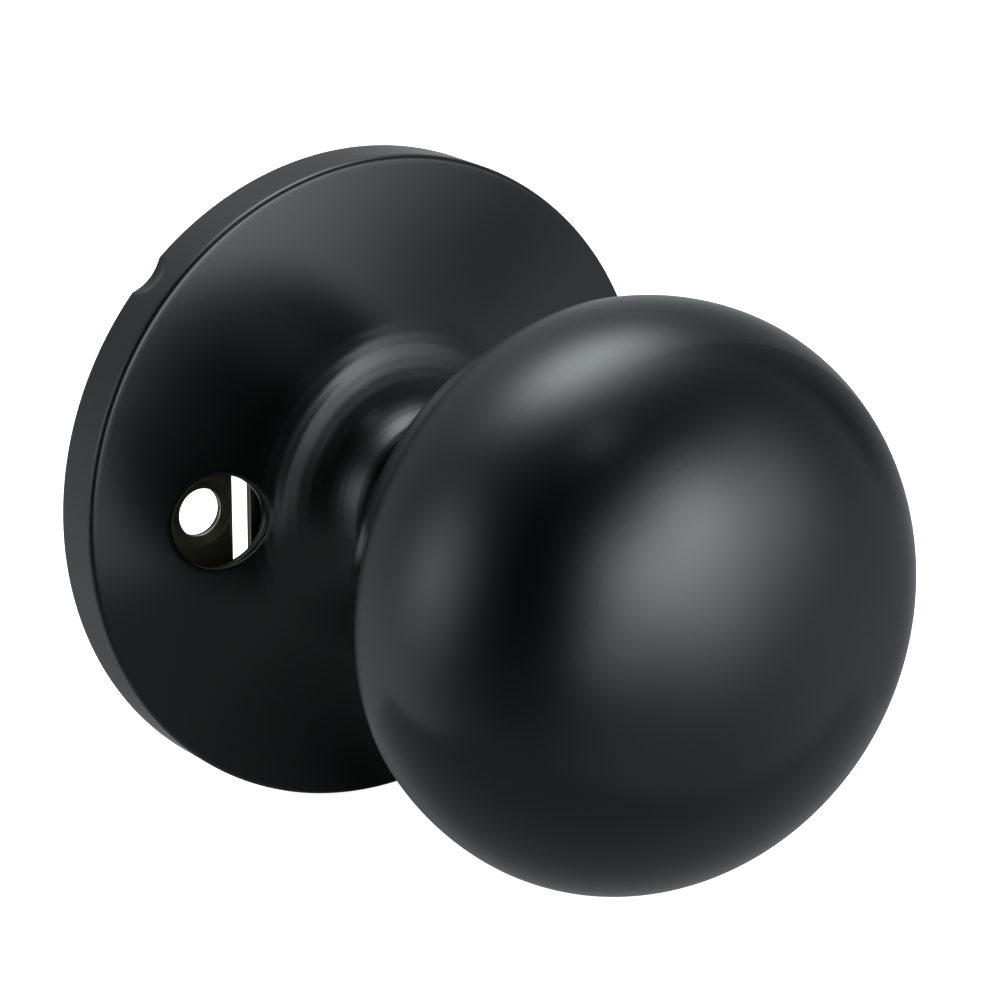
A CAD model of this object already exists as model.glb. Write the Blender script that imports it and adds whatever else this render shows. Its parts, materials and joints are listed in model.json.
"""Looks for a sprung passage door knob: satin black rose, collar and ball on a white ground."""

import json
import math

import bmesh
import bpy
import numpy as np
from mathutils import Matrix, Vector
from mathutils.geometry import delaunay_2d_cdt

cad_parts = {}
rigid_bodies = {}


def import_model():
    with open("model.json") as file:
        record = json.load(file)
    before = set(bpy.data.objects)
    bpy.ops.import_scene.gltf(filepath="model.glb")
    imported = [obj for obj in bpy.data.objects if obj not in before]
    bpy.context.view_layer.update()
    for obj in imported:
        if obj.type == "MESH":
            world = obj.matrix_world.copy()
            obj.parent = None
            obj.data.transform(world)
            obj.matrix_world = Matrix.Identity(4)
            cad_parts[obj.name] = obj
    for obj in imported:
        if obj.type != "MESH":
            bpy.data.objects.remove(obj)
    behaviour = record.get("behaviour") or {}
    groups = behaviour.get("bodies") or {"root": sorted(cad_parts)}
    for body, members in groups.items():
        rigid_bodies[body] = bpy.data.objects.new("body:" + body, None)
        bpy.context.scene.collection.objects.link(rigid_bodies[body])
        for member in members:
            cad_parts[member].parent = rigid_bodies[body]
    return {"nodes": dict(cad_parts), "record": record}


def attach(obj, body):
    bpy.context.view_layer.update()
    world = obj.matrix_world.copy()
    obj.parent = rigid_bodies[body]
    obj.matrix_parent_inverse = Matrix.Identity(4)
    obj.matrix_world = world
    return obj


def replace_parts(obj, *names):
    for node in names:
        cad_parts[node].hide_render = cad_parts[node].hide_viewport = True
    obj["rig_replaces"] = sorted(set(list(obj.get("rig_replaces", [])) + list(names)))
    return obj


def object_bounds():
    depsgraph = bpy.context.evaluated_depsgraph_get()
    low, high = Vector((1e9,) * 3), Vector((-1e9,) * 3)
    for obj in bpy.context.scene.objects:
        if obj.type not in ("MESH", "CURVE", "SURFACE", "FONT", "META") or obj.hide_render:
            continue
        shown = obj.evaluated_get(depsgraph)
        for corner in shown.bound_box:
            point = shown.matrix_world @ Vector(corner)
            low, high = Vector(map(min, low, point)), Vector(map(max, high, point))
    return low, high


MM = 0.001
TURN = 2 * math.pi
QUARTER = math.pi / 2
SIDES = (-1, 1)

# --- rose profile, millimetres: (depth from the door, radius, rounding of the corner) ---
ROSE_RADIUS = 33.0
ROSE_SHEET = 1.0
ROSE_OUTLINE = [
    (0.0, ROSE_RADIUS, 0.0),
    (5.3, ROSE_RADIUS, 0.7),
    (9.29, 13.57, 12.0),
    (14.2, 8.7, 7.8),
    (24.0, 8.7, 0.4),
]
FACE_FROM_DEPTH = 4.0
FACE_RIM_WIDTH = 0.8
PROFILE_STEP = 0.35
PROFILE_ARC_STEP = math.radians(6)

# --- access holes in the rose's face ---
SCREW_REACH = 20.1
ACCESS_RADIUS = 4.65
ACCESS_ROUND = 0.35
ACCESS_INNER_ROUND = ACCESS_ROUND / 2
ACCESS_MARGIN = 0.45
ACCESS_STEPS = 128
ROUND_STEPS = 6
MERGE_GAP = 1e-6

# --- notch in the rose's rear rim, at half past ten as seen from the front ---
NOTCH_BALL = 4.6
NOTCH_RADIUS = 37.0
NOTCH_DEPTH = 0.3
NOTCH_BLEND = 0.12
NOTCH_WALL = 0.3
NOTCH_ANGLE = math.pi - math.radians(45.5)
NOTCH_SPAN = math.radians(15)
FINE_COLUMNS_SPAN = math.radians(9)
FINE_COLUMN = math.radians(0.25)
COARSE_COLUMN = math.radians(1)

# --- ball ---
BALL_RADIUS = 28.0
BALL_EQUATOR = 48.9
NOSE_LENGTH = 21.5
TAIL_LENGTH = 24.0
SHELL_SHEET = 0.9
SEAM_DEPTH = 42.5
SEAM_GAP = 0.15
SEAM_STEP = 0.4
SEAM_EDGE_ANGLE = math.radians(0.35)
SEAM_EDGE = ((0.0, 0.16), (0.04, 0.05))
CUP_RIM_RADIUS = 25.95
CUP_RIM_FRONT = 45.0
CUP_NECK_RADIUS = 9.8
CUP_NECK_BACK = 25.0
CUP_NECK_BLEND = 2.0
CUP_NECK_ROUND = 1.8
NOSE_STEPS = 90
NOSE_INNER_STEPS = 48
TAIL_STEPS = 16
TAIL_INNER_STEPS = 8
CUP_STEPS = 60
CUP_INNER_STEPS = 30
TURNED_COLUMNS = 288
POLE_RADIUS = 1e-6

# --- shading: edges sharper than these angles, in degrees, stay crisp ---
SKIN_SHARP = 40
ROSE_SHARP = 50
NODE_SHARP = 28
WELD_DISTANCE = 1e-6
# Pieces with domed heads keep plain smooth shading; on the rest the large flat faces decide the shading.
DOMED = ("housing_rivets", "stop_pins", "socket_pins", "core_cross_pin", "return_spring")

# --- finishes ---
ENAMEL_DARK = (0.0003, 0.0004, 0.0005)
ENAMEL_LIGHT = (0.0007, 0.0008, 0.0010)
ENAMEL_EDGE = (0.012, 0.0125, 0.013)
ENAMEL_IOR = 1.5
OLIVE_DARK = (0.030, 0.028, 0.018)
OLIVE_LIGHT = (0.062, 0.054, 0.034)
OLIVE_METALLIC = 0.55
CUT_STEEL = (0.62, 0.47, 0.36)
CUT_FACING = (0.35, 0.1)
CUT_REACH = (0.0285, 0.0280)
NYLON_DARK = (0.016, 0.016, 0.018)
NYLON_LIGHT = (0.030, 0.030, 0.032)
METALS = {
    # slot: dark colour, light colour, roughness, grain scale, grain depth in metres, edge colour
    "zinc_plated_steel": ((0.50, 0.50, 0.47), (0.66, 0.66, 0.64), (0.28, 0.44), 900, 3e-5, (0.75, 0.74, 0.72)),
    "spring_steel": ((0.20, 0.20, 0.20), (0.33, 0.32, 0.31), (0.24, 0.38), 2400, 2e-5, None),
    "cast_zinc": ((0.36, 0.37, 0.38), (0.50, 0.51, 0.52), (0.45, 0.62), 1300, 8e-5, None),
}
NOISE_RANGE = (0.3, 0.7)
EDGE_RANGE = (0.515, 0.56)
PATCH_RANGE = (0.4, 0.65)
PATCH_LEAST = 0.2

# --- camera ---
CAMERA_AZIMUTH = -34.56
CAMERA_ELEVATION = 17.81
CAMERA_DISTANCE = 0.400
CAMERA_LENS = 150.9
SENSOR = 36.0
CLIP_START, CLIP_END = 0.01, 100
AIM = (-0.00084, -0.02786, 0.00402)

# --- floor, seen only by the camera ---
FLOOR_REACH = 30.0
FLOOR_GREY = 0.8
FLOOR_GLOW = 0.92

# --- shaded table under the ball, seen only in reflections: dark beside the rose, paler away from it ---
TABLE_HALF_WIDTH = 60.0
TABLE_REACH = 80.0
TABLE_SPOT = 8.0
TABLE_SIDE_STRETCH = 1.6
TABLE_DARK_TO = 2.0
TABLE_PALE_FROM = 36.0
TABLE_DARK = 0.035
TABLE_PALE = 0.28
TABLE_GAP = 1.0

# --- dark screen with faded edges beside the ball's top, seen only in reflections ---
SCREEN_FRONT = 57.0
SCREEN_X = 50.0
SCREEN_Z = 25.0
SCREEN_HALF_WIDTH = 60.0
SCREEN_HALF_HEIGHT = 21.0
SCREEN_CORE = 0.3
SCREEN_OPACITY = 0.66

# --- studio: round glows in the surroundings ---
# Azimuth 0 is in front of the knob and grows towards +X; elevation is above the horizon, in degrees.
# A glow falls to half at about 67 / sqrt(tightness) degrees from its centre.
GLOW_TINT = (0.93, 1.0, 1.02)
GLOWS = [
    # azimuth, elevation, tightness, strength
    (-176.8, 71.2, 21.4, 4.7),
    (12.3, 27.1, 30.3, 3.93),
    (-9.0, 14.5, 25.9, 3.25),
    (10.8, 4.6, 14.9, 2.82),
    (139.5, 64.1, 36.8, 2.43),
    (38.1, 22.6, 17.4, 1.97),
    (-106.5, 10.8, 14.7, 1.64),
    (-18.8, -8.3, 35.9, 1.06),
    (178.5, 61.0, 4.4, 0.85),
    (-27.2, 66.7, 105.7, 0.67),
    (55.4, -20.6, 4.6, 0.54),
    (-124.0, -40.6, 4.7, 0.52),
    (-138.7, -10.9, 5.7, 0.35),
    (-11.8, -42.8, 6.1, 0.39),
    (145.2, -9.5, 6.8, 0.38),
    (90.8, 19.2, 5.7, 0.15),
]


# ---------------------------------------------------------------- profiles

def corner_arc(before, corner, after, size):
    """Points of the arc of this radius that rounds a corner off."""
    to_last = (before - corner) / np.linalg.norm(before - corner)
    to_next = (after - corner) / np.linalg.norm(after - corner)
    half = math.acos(np.clip(to_last @ to_next, -1, 1)) / 2
    reach = size / math.tan(half)
    middle = corner + (to_last + to_next) / np.linalg.norm(to_last + to_next) * size / math.sin(half)
    start = corner + to_last * reach - middle
    end = corner + to_next * reach - middle
    sweep = math.pi - 2 * half
    count = max(2, math.ceil(sweep / PROFILE_ARC_STEP))
    shares = [step / count for step in range(count + 1)]
    return [middle + (math.sin((1 - share) * sweep) * start + math.sin(share * sweep) * end) / math.sin(sweep)
            for share in shares]


def rounded(corners):
    """Close points along a line of (depth, radius, rounding) corners, with an arc at each rounded one."""
    places = [np.array(corner[:2]) for corner in corners]
    points = [places[0]]
    for before, corner, after, (_, _, size) in zip(places, places[1:], places[2:], corners[1:]):
        points += corner_arc(before, corner, after, size) if size > 0 else [corner]
    points.append(places[-1])
    dense = [points[0]]
    for first, second in zip(points, points[1:]):
        parts = max(1, math.ceil(np.linalg.norm(second - first) / PROFILE_STEP))
        dense += [first + (second - first) * part / parts for part in range(1, parts + 1)]
    return dense


def inward(corners, thickness):
    """The corners moved to the inner face of a sheet."""
    moved = []
    for index, (depth, radius, size) in enumerate(corners):
        normals = []
        for start in (index - 1, index):
            if 0 <= start < len(corners) - 1:
                run = np.subtract(corners[start + 1][:2], corners[start][:2])
                run = run / np.linalg.norm(run)
                normals.append(np.array([run[1], -run[0]]))
        first, second = normals[0], normals[-1]
        turn = first[0] * second[1] - first[1] * second[0]
        offset = (first + second) * thickness / (1 + first @ second)
        if size > 0:
            size = max(0.0, size + math.copysign(thickness, turn))
        moved.append((depth + offset[0], radius + offset[1], size))
    return moved


def ball_arc(radius, length, start, end, steps):
    """Points of the ball's meridian between two angles: 0 is the widest point, a quarter turn the end."""
    angles = np.linspace(start, end, steps)
    return [np.array([BALL_EQUATOR + length * math.sin(angle), radius * math.cos(angle)]) for angle in angles]


# ---------------------------------------------------------------- meshes

def place(depth, radius, angle):
    """Point in metres; the angle turns about the knob axis from +X towards +Z."""
    return (radius * math.cos(angle) * MM, -depth * MM, radius * math.sin(angle) * MM)


def add_object(name, bm, body, nodes, sharp=SKIN_SHARP):
    """A visible piece that stands in for CAD nodes and rides on a body."""
    bmesh.ops.recalc_face_normals(bm, faces=bm.faces)
    mesh = bpy.data.meshes.new(name)
    bm.to_mesh(mesh)
    bm.free()
    mesh.shade_smooth()
    mesh.set_sharp_from_angle(angle=math.radians(sharp))
    piece = bpy.data.objects.new(name, mesh)
    bpy.context.scene.collection.objects.link(piece)
    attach(piece, body)
    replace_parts(piece, *nodes)


def turned_rows(bm, profile, angles, change=None):
    """Rows of vertices for a profile turned about the knob axis; a zero radius gives one pole vertex."""
    rows = []
    for depth, radius in profile:
        if radius < POLE_RADIUS:
            rows.append([bm.verts.new(place(depth, 0, 0))])
            continue
        row = []
        for angle in angles:
            reach = change(depth, radius, angle) if change else radius
            row.append(bm.verts.new(place(depth, reach, angle)))
        rows.append(row)
    return rows


def join_rows(bm, first, second, skip=None):
    """Quads, or triangles to a pole, between two rows; skip tells which columns stay open."""
    count = max(len(first), len(second))
    for column in range(count):
        if skip and skip(column):
            continue
        after = (column + 1) % count
        corners = [first[column % len(first)], first[after % len(first)],
                   second[after % len(second)], second[column % len(second)]]
        unique = list(dict.fromkeys(corners))
        if len(unique) > 2:
            bm.faces.new(unique)


def turned_piece(name, profile, body, nodes):
    """A closed profile turned right round."""
    bm = bmesh.new()
    rows = turned_rows(bm, profile, np.linspace(0, TURN, TURNED_COLUMNS, endpoint=False))
    for first, second in zip(rows, rows[1:] + rows[:1]):
        join_rows(bm, first, second)
    add_object(name, bm, body, nodes)


def smooth_min(first, second, width):
    """The lesser of two numbers, with a rounded change from one to the other."""
    mix = np.clip(0.5 + 0.5 * (second - first) / width, 0, 1)
    return second * (1 - mix) + first * mix - width * mix * (1 - mix)


def notched(depth, radius, angle):
    """Radius of the rose's wall with the ball-shaped dip at its rear rim, where a blade lifts the cover off."""
    away = (angle - NOTCH_ANGLE + math.pi) % TURN - math.pi
    if radius < ROSE_RADIUS - NOTCH_WALL or abs(away) > NOTCH_SPAN:
        return radius
    reach = NOTCH_BALL**2 - (NOTCH_RADIUS * math.sin(away)) ** 2 - (depth - NOTCH_DEPTH) ** 2
    dip = NOTCH_RADIUS * math.cos(away) - math.copysign(math.sqrt(abs(reach)), reach)
    return smooth_min(radius, dip, NOTCH_BLEND)


def rose_angles():
    """Angles of the rose's columns: close together near the notch."""
    start, end = NOTCH_ANGLE - FINE_COLUMNS_SPAN, NOTCH_ANGLE + FINE_COLUMNS_SPAN
    fine = np.arange(start, end, FINE_COLUMN)
    coarse = np.linspace(end, start + TURN, round((TURN - 2 * FINE_COLUMNS_SPAN) / COARSE_COLUMN))
    return np.sort(np.mod(np.concatenate([fine, coarse[:-1]]), TURN))


def on_face(depth, radius):
    """True on the part of the rose where the access holes are."""
    return depth > FACE_FROM_DEPTH and radius < ROSE_RADIUS - FACE_RIM_WIDTH


def face_height(profile):
    """Depth of the rose's face as a function of radius."""
    part = np.array(sorted((radius, depth) for depth, radius in profile if on_face(depth, radius)))
    return lambda radius: float(np.interp(radius, part[:, 0], part[:, 1]))


def over_hole(depth, radius, angle):
    """True where the turned grid makes way for an access hole."""
    x, z = radius * math.cos(angle), radius * math.sin(angle)
    gap = ACCESS_RADIUS + ACCESS_ROUND + ACCESS_MARGIN
    return on_face(depth, radius) and any(math.hypot(x - side * SCREW_REACH, z) < gap for side in SIDES)


def boundary_loop(edges):
    """The vertices of a closed chain of edges, in order."""
    links = {}
    for edge in edges:
        one, other = edge.verts
        links.setdefault(one, []).append(other)
        links.setdefault(other, []).append(one)
    start = next(iter(links))
    loop, last, here = [start], None, start
    while True:
        options = [vert for vert in links[here] if vert is not last]
        last, here = here, options[0]
        if here is start:
            return loop
        loop.append(here)


def stitch(bm, loop, ring, centre_x, ring_radius):
    """Triangles between the ragged loop of an opening in the grid and the hole's ring."""
    verts = loop + ring
    flat = [Vector((vert.co.x / MM, vert.co.z / MM)) for vert in verts]
    edges = [(index, (index + 1) % len(loop)) for index in range(len(loop))]
    edges += [(len(loop) + index, len(loop) + (index + 1) % len(ring)) for index in range(len(ring))]
    _, _, faces, origin, _, _ = delaunay_2d_cdt(flat, edges, [], 1, MERGE_GAP)
    for face in faces:
        corners = [origin[index][0] for index in face]
        middle = sum((flat[index] for index in corners), Vector((0, 0))) / len(corners)
        inside_hole = math.hypot(middle.x - centre_x, middle.y) < ring_radius * math.cos(math.pi / len(ring))
        if not inside_hole and len(set(corners)) == len(corners):
            bm.faces.new([verts[index] for index in corners])


def hole_ring(bm, centre_x, radius, height, sink):
    """A ring of vertices about a hole's axis, at the face's height or sunk from it."""
    ring = []
    for turn in np.linspace(0, TURN, ACCESS_STEPS, endpoint=False):
        x, z = centre_x + radius * math.cos(turn), radius * math.sin(turn)
        depth = height(math.hypot(x, z)) + sink
        ring.append(bm.verts.new((x * MM, -depth * MM, z * MM)))
    return ring


def access_hole(bm, centre_x, outer_height, inner_height, outside, inside):
    """One access hole with rounded edges, joined to the openings in both faces of the sheet."""
    bends = [QUARTER * step / ROUND_STEPS for step in range(ROUND_STEPS + 1)]
    rings = [hole_ring(bm, centre_x, ACCESS_RADIUS + ACCESS_ROUND * (1 - math.sin(bend)), outer_height,
                       -ACCESS_ROUND * (1 - math.cos(bend))) for bend in bends]
    rings += [hole_ring(bm, centre_x, ACCESS_RADIUS + ACCESS_INNER_ROUND * (1 - math.sin(bend)), inner_height,
                        ACCESS_INNER_ROUND * (1 - math.cos(bend))) for bend in reversed(bends)]
    for first, second in zip(rings, rings[1:]):
        join_rows(bm, first, second)
    stitch(bm, boundary_loop(outside), rings[0], centre_x, ACCESS_RADIUS + ACCESS_ROUND)
    stitch(bm, boundary_loop(inside), rings[-1], centre_x, ACCESS_RADIUS + ACCESS_INNER_ROUND)


def rose_cover():
    """The pressed rose: wall, cone face, hub and collar, with two rimmed access holes and the notch."""
    lip_depth, collar, _ = ROSE_OUTLINE[-1]
    outer = rounded(ROSE_OUTLINE + [(lip_depth, collar - ROSE_SHEET, 0)])
    inner = rounded(inward(ROSE_OUTLINE, ROSE_SHEET))[::-1]
    profile = outer + inner
    angles = rose_angles()
    mids = (angles + np.append(angles[1:], angles[0] + TURN)) / 2
    bm = bmesh.new()
    rows = turned_rows(bm, profile, angles, notched)
    for index, row in enumerate(rows):
        after = (index + 1) % len(rows)
        depth, radius = (profile[index] + profile[after]) / 2
        join_rows(bm, row, rows[after], lambda column: over_hole(depth, radius, mids[column]))
    for lone in [vert for vert in bm.verts if not vert.link_faces]:
        bm.verts.remove(lone)
    outer_verts = {vert for row in rows[:len(outer)] for vert in row if vert.is_valid}
    open_edges = [edge for edge in bm.edges if len(edge.link_faces) == 1]
    for side in SIDES:
        mine = [edge for edge in open_edges if edge.verts[0].co.x * side > 0]
        outside = [edge for edge in mine if edge.verts[0] in outer_verts]
        inside = [edge for edge in mine if edge.verts[0] not in outer_verts]
        access_hole(bm, side * SCREW_REACH, face_height(outer), face_height(inner), outside, inside)
    add_object("rose_skin", bm, "rose", ["rose_cover"], sharp=ROSE_SHARP)


def front_shell():
    """Front of the ball with a softened edge at the seam."""
    back = math.asin((BALL_EQUATOR - SEAM_DEPTH) / TAIL_LENGTH)
    inner_back = math.asin((BALL_EQUATOR - SEAM_DEPTH) / (TAIL_LENGTH - SHELL_SHEET))
    seam = BALL_RADIUS * math.cos(back)
    edge = [np.array([SEAM_DEPTH + ahead, seam - below]) for ahead, below in SEAM_EDGE]
    outside = ball_arc(BALL_RADIUS, TAIL_LENGTH, -back + SEAM_EDGE_ANGLE, 0, TAIL_STEPS)
    outside += ball_arc(BALL_RADIUS, NOSE_LENGTH, 0, QUARTER, NOSE_STEPS)[1:]
    inner_radius = BALL_RADIUS - SHELL_SHEET
    inside = ball_arc(inner_radius, NOSE_LENGTH - SHELL_SHEET, QUARTER, 0, NOSE_INNER_STEPS)
    inside += ball_arc(inner_radius, TAIL_LENGTH - SHELL_SHEET, 0, -inner_back, TAIL_INNER_STEPS)[1:]
    outside[-1][1] = 0.0
    inside[0][1] = 0.0
    turned_piece("knob_front_skin", edge + outside + inside, "knob", ["knob_front_shell"])


def rear_cup():
    """Rear of the ball with its neck, and the rim that tucks inside the front shell."""
    radius, length = BALL_RADIUS - SEAM_STEP, TAIL_LENGTH - SEAM_STEP
    rim_back = SEAM_DEPTH - SEAM_GAP
    neck_angle = -math.acos(CUP_NECK_RADIUS / radius)
    rim_angle = -math.asin((BALL_EQUATOR - rim_back) / length)
    arc = ball_arc(radius, length, neck_angle, rim_angle, CUP_STEPS)
    waist = arc[0]
    clear = next(index for index, point in enumerate(arc) if np.linalg.norm(point - waist) > CUP_NECK_BLEND)
    neck = rounded([(CUP_NECK_BACK, CUP_NECK_RADIUS, 0), (*waist, CUP_NECK_ROUND), (*arc[clear], 0)])
    neck_inner, rim_inner = CUP_NECK_RADIUS - SHELL_SHEET, CUP_RIM_RADIUS - SHELL_SHEET
    rim = [(rim_back, CUP_RIM_RADIUS), (CUP_RIM_FRONT, CUP_RIM_RADIUS), (CUP_RIM_FRONT, rim_inner)]
    inner_radius = radius - SHELL_SHEET
    inside = ball_arc(inner_radius, length - SHELL_SHEET, -math.acos(rim_inner / inner_radius),
                      -math.acos(neck_inner / inner_radius), CUP_INNER_STEPS)
    profile = neck[:-1] + arc[clear:] + rim + inside + [(CUP_NECK_BACK, neck_inner)]
    turned_piece("knob_rear_skin", profile, "knob", ["knob_rear_cup"])


# ---------------------------------------------------------------- materials

class Nodes:
    """Short ways to fill a node tree."""

    def __init__(self, tree):
        self.tree = tree

    def node(self, kind, **settings):
        made = self.tree.nodes.new(kind)
        for key, value in settings.items():
            setattr(made, key, value)
        return made

    def link(self, source, target):
        self.tree.links.new(source, target)

    def math(self, operation, *values):
        """A math node's result; each value is a number or the output of another node."""
        made = self.node("ShaderNodeMath", operation=operation)
        for socket, value in zip(made.inputs, values):
            if isinstance(value, (int, float)):
                socket.default_value = value
            else:
                self.link(value, socket)
        return made.outputs[0]

    def ramp(self, source, span, low, high):
        """Carries a span of the source's values over to low..high."""
        made = self.node("ShaderNodeMapRange")
        made.inputs["From Min"].default_value, made.inputs["From Max"].default_value = span
        made.inputs["To Min"].default_value = low
        made.inputs["To Max"].default_value = high
        self.link(source, made.inputs["Value"])
        return made.outputs["Result"]


class Paint(Nodes):
    """One node material of the part."""

    def __init__(self, name):
        self.material = bpy.data.materials.new("finish_" + name)
        self.material.use_nodes = True
        super().__init__(self.material.node_tree)
        self.inputs = self.tree.nodes["Principled BSDF"].inputs
        self.where = self.node("ShaderNodeTexCoord").outputs["Object"]

    def noise(self, scale, detail=4.0, roughness=0.5):
        made = self.node("ShaderNodeTexNoise")
        made.inputs["Scale"].default_value = scale
        made.inputs["Detail"].default_value = detail
        made.inputs["Roughness"].default_value = roughness
        self.link(self.where, made.inputs["Vector"])
        return made.outputs["Fac"]

    def mottle(self, scale, detail, roughness=0.5, low=0.0, high=1.0):
        """Noise spread over the range low..high."""
        return self.ramp(self.noise(scale, detail, roughness), NOISE_RANGE, low, high)

    def blend(self, factor, first, second):
        """A mix of two colours; each is a tuple or the output of another node."""
        made = self.node("ShaderNodeMix", data_type="RGBA")
        self.link(factor, made.inputs["Factor"])
        colours = [socket for socket in made.inputs if socket.type == "RGBA"]
        for socket, value in zip(colours, (first, second)):
            if isinstance(value, tuple):
                socket.default_value = (*value, 1.0)
            else:
                self.link(value, socket)
        return next(socket for socket in made.outputs if socket.type == "RGBA")

    def bump(self, source, strength, distance, onto=None):
        made = self.node("ShaderNodeBump")
        made.inputs["Strength"].default_value = strength
        made.inputs["Distance"].default_value = distance
        self.link(source, made.inputs["Height"])
        if onto:
            self.link(onto, made.inputs["Normal"])
        return made.outputs["Normal"]

    def worn(self, colour, edge_colour, amount):
        """The colour, a little lighter along outside edges, broken up by noise."""
        pointed = self.node("ShaderNodeNewGeometry").outputs["Pointiness"]
        edges = self.ramp(pointed, EDGE_RANGE, 0.0, amount)
        patches = self.ramp(self.noise(420, 3), PATCH_RANGE, PATCH_LEAST, 1.0)
        return self.blend(self.math("MULTIPLY", edges, patches), colour, edge_colour)

    def finish(self, colour, roughness, normal, metallic=0.0):
        """Joins the parts of the finish to its shader and gives the material."""
        self.link(colour, self.inputs["Base Color"])
        self.link(roughness, self.inputs["Roughness"])
        self.link(normal, self.inputs["Normal"])
        self.inputs["Metallic"].default_value = metallic
        return self.material


def satin_black():
    """Smooth satin enamel with a very fine orange peel."""
    paint = Paint("satin_black")
    paint.inputs["IOR"].default_value = ENAMEL_IOR
    tint = paint.blend(paint.noise(45, 3), ENAMEL_DARK, ENAMEL_LIGHT)
    peel = paint.bump(paint.noise(1400, 2), 0.10, 4e-5)
    grain = paint.bump(paint.noise(6500, 3), 0.12, 2e-5, peel)
    gloss = paint.mottle(60, 5, 0.6, low=0.19, high=0.23)
    return paint.finish(paint.worn(tint, ENAMEL_EDGE, 0.3), gloss, grain)


def metal(name, dark, light, roughness, grain_scale, grain_depth, edge):
    """Plated, drawn or cast metal with mottled colour and fine relief."""
    paint = Paint(name)
    colour = paint.blend(paint.mottle(70, 5, 0.6), dark, light)
    if edge:
        colour = paint.worn(colour, edge, 0.8)
    gloss = paint.mottle(160, 6, 0.6, *roughness)
    grain = paint.bump(paint.noise(grain_scale, 5, 0.6), 0.35, grain_depth)
    return paint.finish(colour, gloss, grain, metallic=1.0)


def punched_edges(paint):
    """1 on faces that run with the knob axis, inside the plate's rim: the walls of its punched holes."""
    to_object = paint.node("ShaderNodeVectorTransform", vector_type="NORMAL",
                           convert_from="WORLD", convert_to="OBJECT")
    paint.link(paint.node("ShaderNodeNewGeometry").outputs["Normal"], to_object.inputs[0])
    normal = paint.node("ShaderNodeSeparateXYZ")
    paint.link(to_object.outputs[0], normal.inputs[0])
    cut = paint.ramp(paint.math("ABSOLUTE", normal.outputs["Y"]), CUT_FACING, 0.0, 1.0)
    spot = paint.node("ShaderNodeSeparateXYZ")
    paint.link(paint.where, spot.inputs[0])
    across = paint.node("ShaderNodeCombineXYZ")
    paint.link(spot.outputs["X"], across.inputs["X"])
    paint.link(spot.outputs["Z"], across.inputs["Z"])
    radius = paint.node("ShaderNodeVectorMath", operation="LENGTH")
    paint.link(across.outputs[0], radius.inputs[0])
    inside = paint.ramp(radius.outputs["Value"], CUT_REACH, 0.0, 1.0)
    return paint.math("MULTIPLY", cut, inside)


def bronze_plate():
    """Dark olive chromate on steel; bare pinkish tan where holes were punched through it."""
    paint = Paint("dark_bronze_plate")
    skin = paint.blend(paint.mottle(110, 5, 0.6), OLIVE_DARK, OLIVE_LIGHT)
    colour = paint.blend(punched_edges(paint), skin, CUT_STEEL)
    gloss = paint.mottle(240, 5, low=0.34, high=0.52)
    grain = paint.bump(paint.noise(2600, 4), 0.25, 3e-5)
    return paint.finish(colour, gloss, grain, OLIVE_METALLIC)


def nylon():
    """Moulded dark nylon, slightly mottled."""
    paint = Paint("dark_nylon")
    colour = paint.blend(paint.noise(130, 4), NYLON_DARK, NYLON_LIGHT)
    gloss = paint.mottle(300, 4, low=0.45, high=0.6)
    return paint.finish(colour, gloss, paint.bump(paint.noise(2200, 4), 0.3, 3e-5))


def dress_nodes(frame, replaced):
    """Give each carried-over CAD node its finish, with smooth curved faces and crisp corners."""
    finishes = {"satin_black": satin_black(), "dark_bronze_plate": bronze_plate(), "dark_nylon": nylon()}
    finishes.update({slot: metal(slot, *looks) for slot, looks in METALS.items()})
    slots = {part["node"]: part["material_slot"] for part in frame["record"]["subparts"]}
    for name, node in frame["nodes"].items():
        node.data.materials.clear()
        node.data.materials.append(finishes[slots[name]])
        if name in replaced:
            continue
        weld = node.modifiers.new("weld", "WELD")
        weld.merge_threshold = WELD_DISTANCE
        node.data.shade_smooth()
        node.data.set_sharp_from_angle(angle=math.radians(NODE_SHARP))
        if name not in DOMED:
            node.modifiers.new("flat_faces", "WEIGHTED_NORMAL").keep_sharp = True
    for piece in bpy.context.scene.objects:
        if "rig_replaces" in piece:
            piece.data.materials.append(finishes["satin_black"])


# ---------------------------------------------------------------- stage, lights, camera

def studio_sheet(name, corners, material):
    """A flat four-cornered piece of the studio that casts no shadow and lights nothing."""
    bm = bmesh.new()
    bm.faces.new([bm.verts.new(corner) for corner in corners])
    mesh = bpy.data.meshes.new(name)
    bm.to_mesh(mesh)
    bm.free()
    mesh.materials.append(material)
    sheet = bpy.data.objects.new(name, mesh)
    bpy.context.scene.collection.objects.link(sheet)
    sheet.visible_diffuse = False
    sheet.visible_transmission = False
    sheet.visible_shadow = False
    return sheet


def floor(height):
    """A wide pale floor just under the rose."""
    material = bpy.data.materials.new("floor")
    material.use_nodes = True
    inputs = material.node_tree.nodes["Principled BSDF"].inputs
    inputs["Base Color"].default_value = (FLOOR_GREY, FLOOR_GREY, FLOOR_GREY, 1)
    inputs["Roughness"].default_value = 1.0
    inputs["Specular IOR Level"].default_value = 0.0
    inputs["Emission Color"].default_value = (1, 1, 1, 1)
    inputs["Emission Strength"].default_value = FLOOR_GLOW
    corners = [(-FLOOR_REACH, -FLOOR_REACH), (FLOOR_REACH, -FLOOR_REACH),
               (FLOOR_REACH, FLOOR_REACH), (-FLOOR_REACH, FLOOR_REACH)]
    studio_sheet("floor", [(x, y, height) for x, y in corners], material).visible_glossy = False


def card_material(name):
    """A material with an output only, and its nodes."""
    material = bpy.data.materials.new(name)
    material.use_nodes = True
    material.node_tree.nodes.clear()
    nodes = Nodes(material.node_tree)
    return material, nodes, nodes.node("ShaderNodeOutputMaterial").inputs["Surface"]


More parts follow.
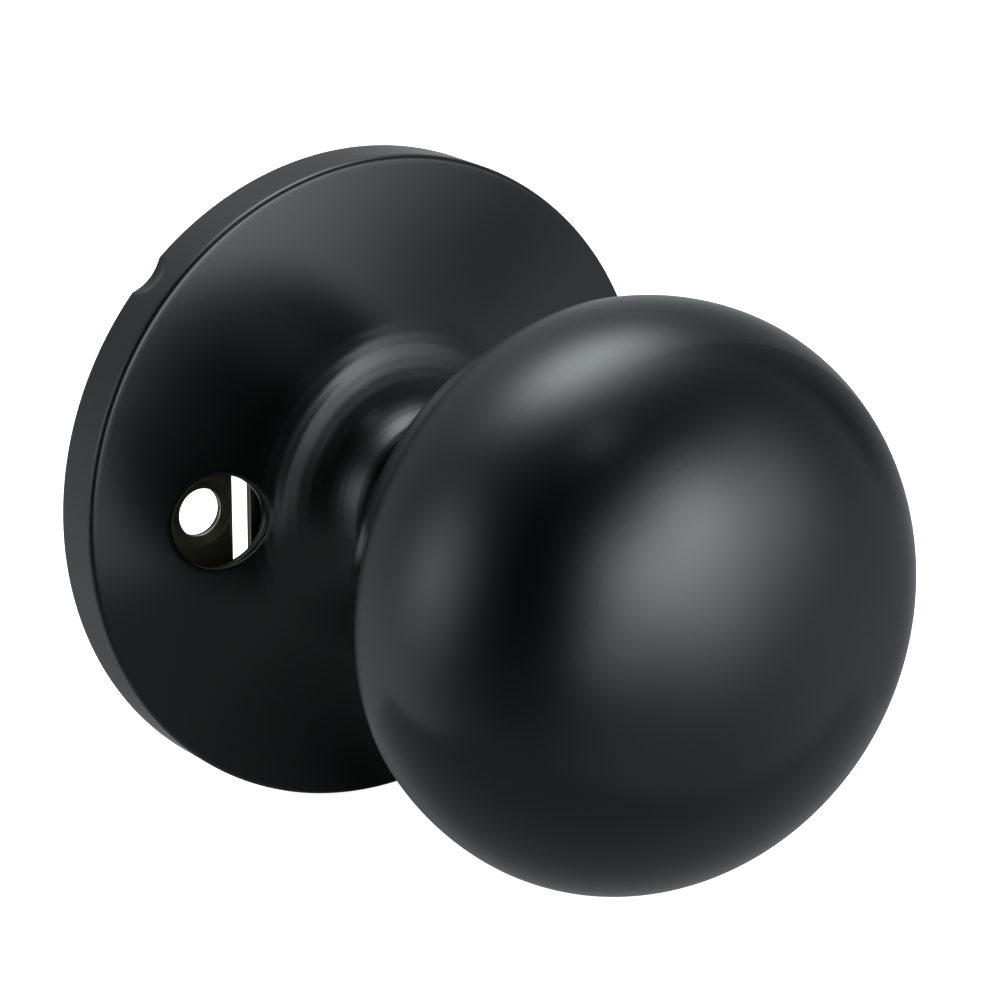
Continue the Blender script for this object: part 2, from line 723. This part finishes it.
def fade(nodes, scale, location, span, low, high):
    """A value that goes from low to high over a span of distances from a spot, on a stretched map."""
    stretched = nodes.node("ShaderNodeMapping")
    stretched.inputs["Scale"].default_value = scale
    stretched.inputs["Location"].default_value = location
    nodes.link(nodes.node("ShaderNodeTexCoord").outputs["Object"], stretched.inputs["Vector"])
    away = nodes.node("ShaderNodeVectorMath", operation="LENGTH")
    nodes.link(stretched.outputs["Vector"], away.inputs[0])
    return nodes.ramp(away.outputs["Value"], span, low, high)


def table_shade(height):
    """A card under the ball, seen only in reflections."""
    material, nodes, surface = card_material("table_shade")
    glow = nodes.node("ShaderNodeEmission")
    glow.inputs["Color"].default_value = (*GLOW_TINT, 1)
    strength = fade(nodes, (TABLE_SIDE_STRETCH, 1, 0), (0, TABLE_SPOT * MM, 0),
                    (TABLE_DARK_TO * MM, TABLE_PALE_FROM * MM), TABLE_DARK, TABLE_PALE)
    nodes.link(strength, glow.inputs["Strength"])
    nodes.link(glow.outputs[0], surface)
    left, right, front = -TABLE_HALF_WIDTH * MM, TABLE_HALF_WIDTH * MM, -TABLE_REACH * MM
    corners = [(left, 0, height), (right, 0, height), (right, front, height), (left, front, height)]
    studio_sheet("table_shade", corners, material).visible_camera = False


def side_screen():
    """A dark card between the top of the rose's face and the lights, seen only in reflections."""
    material, nodes, surface = card_material("side_screen")
    dark = nodes.node("ShaderNodeEmission")
    dark.inputs["Strength"].default_value = 0.0
    opacity = fade(nodes, (1 / (SCREEN_HALF_WIDTH * MM), 0, 1 / (SCREEN_HALF_HEIGHT * MM)),
                   (-SCREEN_X / SCREEN_HALF_WIDTH, 0, -SCREEN_Z / SCREEN_HALF_HEIGHT),
                   (SCREEN_CORE, 1.0), SCREEN_OPACITY, 0.0)
    mix = nodes.node("ShaderNodeMixShader")
    nodes.link(opacity, mix.inputs[0])
    nodes.link(nodes.node("ShaderNodeBsdfTransparent").outputs[0], mix.inputs[1])
    nodes.link(dark.outputs[0], mix.inputs[2])
    nodes.link(mix.outputs[0], surface)
    left, right = (SCREEN_X - SCREEN_HALF_WIDTH) * MM, (SCREEN_X + SCREEN_HALF_WIDTH) * MM
    low, high = (SCREEN_Z - SCREEN_HALF_HEIGHT) * MM, (SCREEN_Z + SCREEN_HALF_HEIGHT) * MM
    front = -SCREEN_FRONT * MM
    corners = [(left, front, low), (right, front, low), (right, front, high), (left, front, high)]
    studio_sheet("side_screen", corners, material).visible_camera = False


def heading(azimuth, elevation):
    """Unit vector of a direction given in degrees."""
    around, above = math.radians(azimuth), math.radians(elevation)
    return Vector((math.sin(around) * math.cos(above), -math.cos(around) * math.cos(above), math.sin(above)))


def studio_light():
    """Surroundings made of round glows on black, which the camera itself sees as plain white."""
    world = bpy.data.worlds.new("studio")
    bpy.context.scene.world = world
    world.use_nodes = True
    world.node_tree.nodes.clear()
    nodes = Nodes(world.node_tree)
    where = nodes.node("ShaderNodeTexCoord").outputs["Generated"]
    total = 0.0
    for azimuth, elevation, tightness, strength in GLOWS:
        facing = nodes.node("ShaderNodeVectorMath", operation="DOT_PRODUCT")
        facing.inputs[1].default_value = heading(azimuth, elevation)
        nodes.link(where, facing.inputs[0])
        fall = nodes.math("MULTIPLY_ADD", facing.outputs["Value"], tightness, -tightness)
        total = nodes.math("MULTIPLY_ADD", nodes.math("EXPONENT", fall), strength, total)
    glowing = nodes.node("ShaderNodeBackground")
    glowing.inputs["Color"].default_value = (*GLOW_TINT, 1)
    nodes.link(total, glowing.inputs["Strength"])
    white = nodes.node("ShaderNodeBackground")
    white.inputs["Color"].default_value = (1, 1, 1, 1)
    choose = nodes.node("ShaderNodeMixShader")
    nodes.link(nodes.node("ShaderNodeLightPath").outputs["Is Camera Ray"], choose.inputs[0])
    nodes.link(glowing.outputs[0], choose.inputs[1])
    nodes.link(white.outputs[0], choose.inputs[2])
    nodes.link(choose.outputs[0], nodes.node("ShaderNodeOutputWorld").inputs["Surface"])


def camera():
    """A long lens on the knob from front left and above."""
    back = heading(CAMERA_AZIMUTH, CAMERA_ELEVATION)
    data = bpy.data.cameras.new("camera")
    data.lens, data.sensor_width = CAMERA_LENS, SENSOR
    data.clip_start, data.clip_end = CLIP_START, CLIP_END
    view = bpy.data.objects.new("camera", data)
    bpy.context.scene.collection.objects.link(view)
    view.location = Vector(AIM) + back * CAMERA_DISTANCE
    view.rotation_mode = "QUATERNION"
    view.rotation_quaternion = (-back).to_track_quat("-Z", "Y")
    bpy.context.scene.camera = view


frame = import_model()
cad_low, cad_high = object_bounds()

rose_cover()
front_shell()
rear_cup()
dress_nodes(frame, ("rose_cover", "knob_front_shell", "knob_rear_cup"))

floor(cad_low.z)
table_shade(cad_low.z - TABLE_GAP * MM)
side_screen()
studio_light()
camera()
bpy.context.scene.view_settings.view_transform = "Standard"
